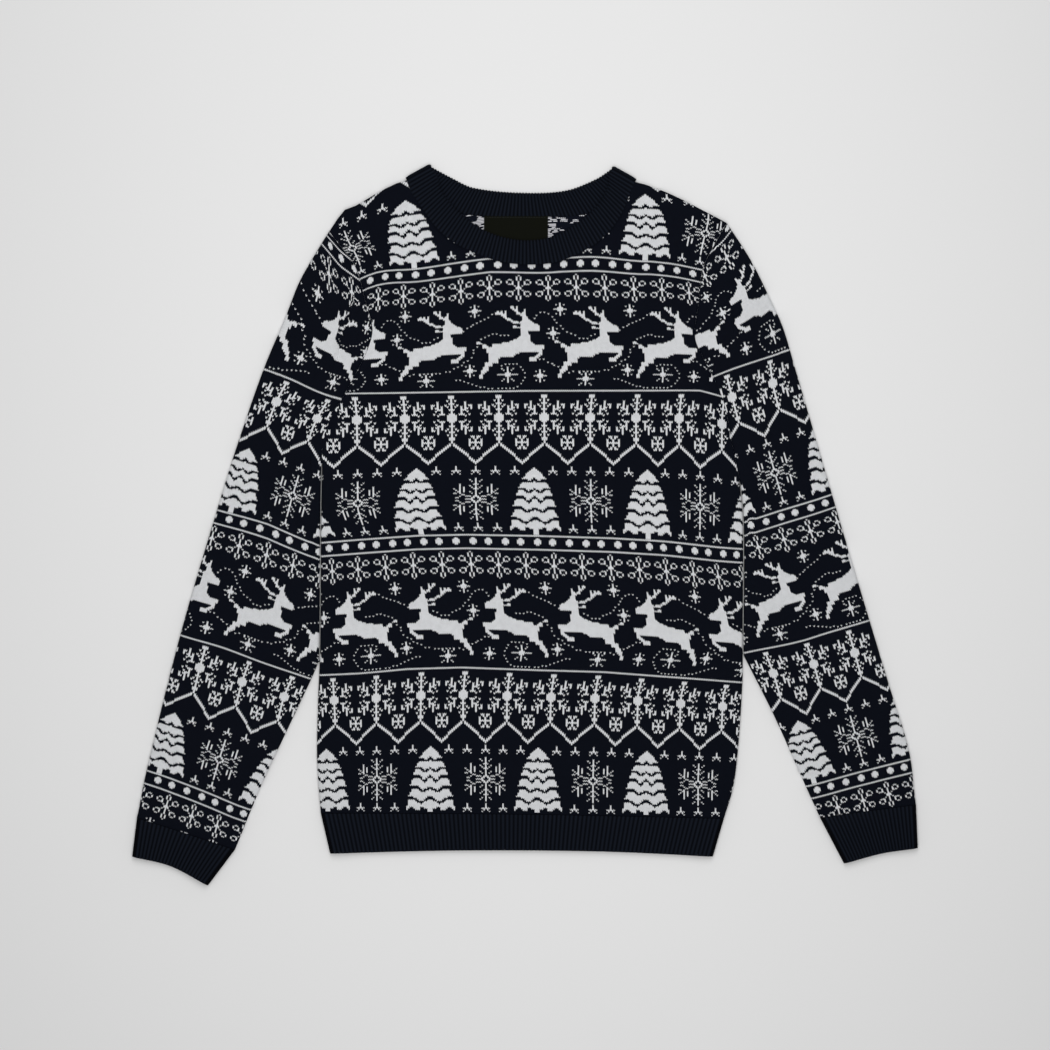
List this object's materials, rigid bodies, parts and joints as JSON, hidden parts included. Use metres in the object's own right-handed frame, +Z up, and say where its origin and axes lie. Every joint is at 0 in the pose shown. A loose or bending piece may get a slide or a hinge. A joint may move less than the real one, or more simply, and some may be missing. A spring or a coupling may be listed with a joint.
{
  "type": "christmas sweater",
  "caption": "Long-sleeved crew-neck jacquard sweater laid flat, face up, sleeves at its sides: front, back, set-in sleeves, ribbed cuffs, hem and neckband, and a bare neck label.",
  "frame": {"origin": "middle of the garment's outline in plan, on the surface it lies on", "axes": "+X towards the wearer's left sleeve, +Y towards the neck, +Z up, out of the garment's front"},
  "size_m": [0.786, 0.7208, 0.0078],
  "materials": {
    "patterned_knit": "matt jacquard knit, off-white on near-black navy",
    "patterned_knit_back": "matt jacquard knit, off-white on near-black navy, floats inside",
    "ribbed_knit": "matt ribbed knit, near-black navy",
    "label_satin": "satin weave, near black, bare"
  },
  "bodies": {
    "root": {"front_panel": "patterned_knit", "back_panel": "patterned_knit_back", "sleeve_left": "patterned_knit", "sleeve_right": "patterned_knit", "cuff_left": "ribbed_knit", "cuff_right": "ribbed_knit", "hem_front": "ribbed_knit", "hem_back": "ribbed_knit", "collar": "ribbed_knit", "neck_label": "label_satin"}
  },
  "joints": []
}
